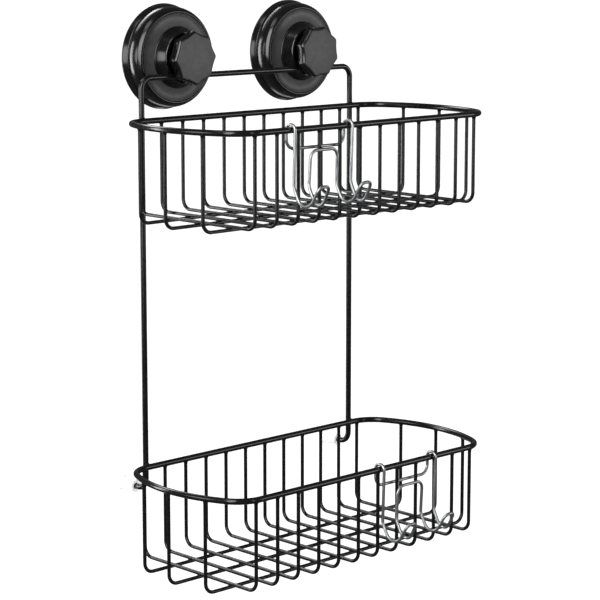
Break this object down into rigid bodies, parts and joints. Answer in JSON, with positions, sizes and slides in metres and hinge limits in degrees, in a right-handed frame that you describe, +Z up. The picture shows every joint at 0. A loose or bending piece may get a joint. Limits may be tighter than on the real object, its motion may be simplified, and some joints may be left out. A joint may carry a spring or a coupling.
{
  "type": "shower caddy",
  "caption": "Wire shower rack with stacked open baskets on a hoop frame, hung from screw-down suction cups, with sliding J-hooks on the front rails.",
  "frame": {"origin": "on the wall plane, midway between the two suction cups at the height of their axes", "axes": "+X across the caddy to the right as it is used, +Y into the wall, +Z up"},
  "size_m": [0.3048, 0.1968, 0.4404],
  "materials": {
    "black_wire": "gloss black coating on steel wire",
    "clear_cap": "clear soft vinyl",
    "black_rubber": "smooth moulded",
    "black_plastic": "polished moulded",
    "grey_plastic": "fine matt",
    "stud_steel": "zinc plated",
    "brass": "turned",
    "hook_steel": "polished"
  },
  "bodies": {
    "rack": {"hanger_frame": "black_wire", "foot_cap_left": "clear_cap", "foot_cap_right": "clear_cap", "rim_upper": "black_wire", "rim_lower": "black_wire", "cross_wire_upper_1": "black_wire", "cross_wire_upper_2": "black_wire", "cross_wire_upper_3": "black_wire", "cross_wire_upper_4": "black_wire", "cross_wire_upper_5": "black_wire", "cross_wire_upper_6": "black_wire", "cross_wire_upper_7": "black_wire", "cross_wire_upper_8": "black_wire", "cross_wire_upper_9": "black_wire", "cross_wire_upper_10": "black_wire", "cross_wire_upper_11": "black_wire", "cross_wire_upper_12": "black_wire", "cross_wire_lower_1": "black_wire", "cross_wire_lower_2": "black_wire", "cross_wire_lower_3": "black_wire", "cross_wire_lower_4": "black_wire", "cross_wire_lower_5": "black_wire", "cross_wire_lower_6": "black_wire", "cross_wire_lower_7": "black_wire", "cross_wire_lower_8": "black_wire", "cross_wire_lower_9": "black_wire", "cross_wire_lower_10": "black_wire", "cross_wire_lower_11": "black_wire", "cross_wire_lower_12": "black_wire", "long_wire_upper_1": "black_wire", "long_wire_upper_2": "black_wire", "long_wire_upper_3": "black_wire", "long_wire_lower_1": "black_wire", "long_wire_lower_2": "black_wire", "long_wire_lower_3": "black_wire"},
    "left_cup": {"suction_pad_left": "black_rubber", "cup_housing_left": "black_plastic"},
    "left_stud": {"pull_stud_left": "stud_steel"},
    "left_knob": {"knob_left": "black_plastic", "knob_nut_left": "brass", "knob_cap_left": "grey_plastic"},
    "right_cup": {"suction_pad_right": "black_rubber", "cup_housing_right": "black_plastic"},
    "right_stud": {"pull_stud_right": "stud_steel"},
    "right_knob": {"knob_right": "black_plastic", "knob_nut_right": "brass", "knob_cap_right": "grey_plastic"},
    "upper_hook": {"double_hook_upper": "hook_steel"},
    "lower_hook": {"double_hook_lower": "hook_steel"}
  },
  "joints": [
    {"name": "cup_slide_left", "type": "slide", "parent": "rack", "child": "left_cup", "axis": [1, 0, 0], "range_m": [-0.015, 0.024]},
    {"name": "knob_turn_left", "type": "hinge", "parent": "left_cup", "child": "left_knob", "pos_m": [-0.068, -0.0386, 0], "axis": [0, 1, 0], "range_deg": [-540, 0]},
    {"name": "stud_pull_left", "type": "slide", "parent": "left_cup", "child": "left_stud", "axis": [0, 1, 0], "range_m": [0, 0.0031]},
    {"name": "cup_slide_right", "type": "slide", "parent": "rack", "child": "right_cup", "axis": [1, 0, 0], "range_m": [-0.024, 0.015]},
    {"name": "knob_turn_right", "type": "hinge", "parent": "right_cup", "child": "right_knob", "pos_m": [0.068, -0.0386, 0], "axis": [0, 1, 0], "range_deg": [-540, 0]},
    {"name": "stud_pull_right", "type": "slide", "parent": "right_cup", "child": "right_stud", "axis": [0, 1, 0], "range_m": [0, 0.0031]},
    {"name": "hook_slide_upper", "type": "slide", "parent": "rack", "child": "upper_hook", "axis": [1, 0, 0], "range_m": [-0.029, 0.137]},
    {"name": "hook_slide_lower", "type": "slide", "parent": "rack", "child": "lower_hook", "axis": [1, 0, 0], "range_m": [-0.126, 0.04]}
  ],
  "couplings": [
    {"joint": "stud_pull_left", "follows": "knob_turn_left", "m_per_rad": -0.00031831},
    {"joint": "stud_pull_right", "follows": "knob_turn_right", "m_per_rad": -0.00031831}
  ]
}
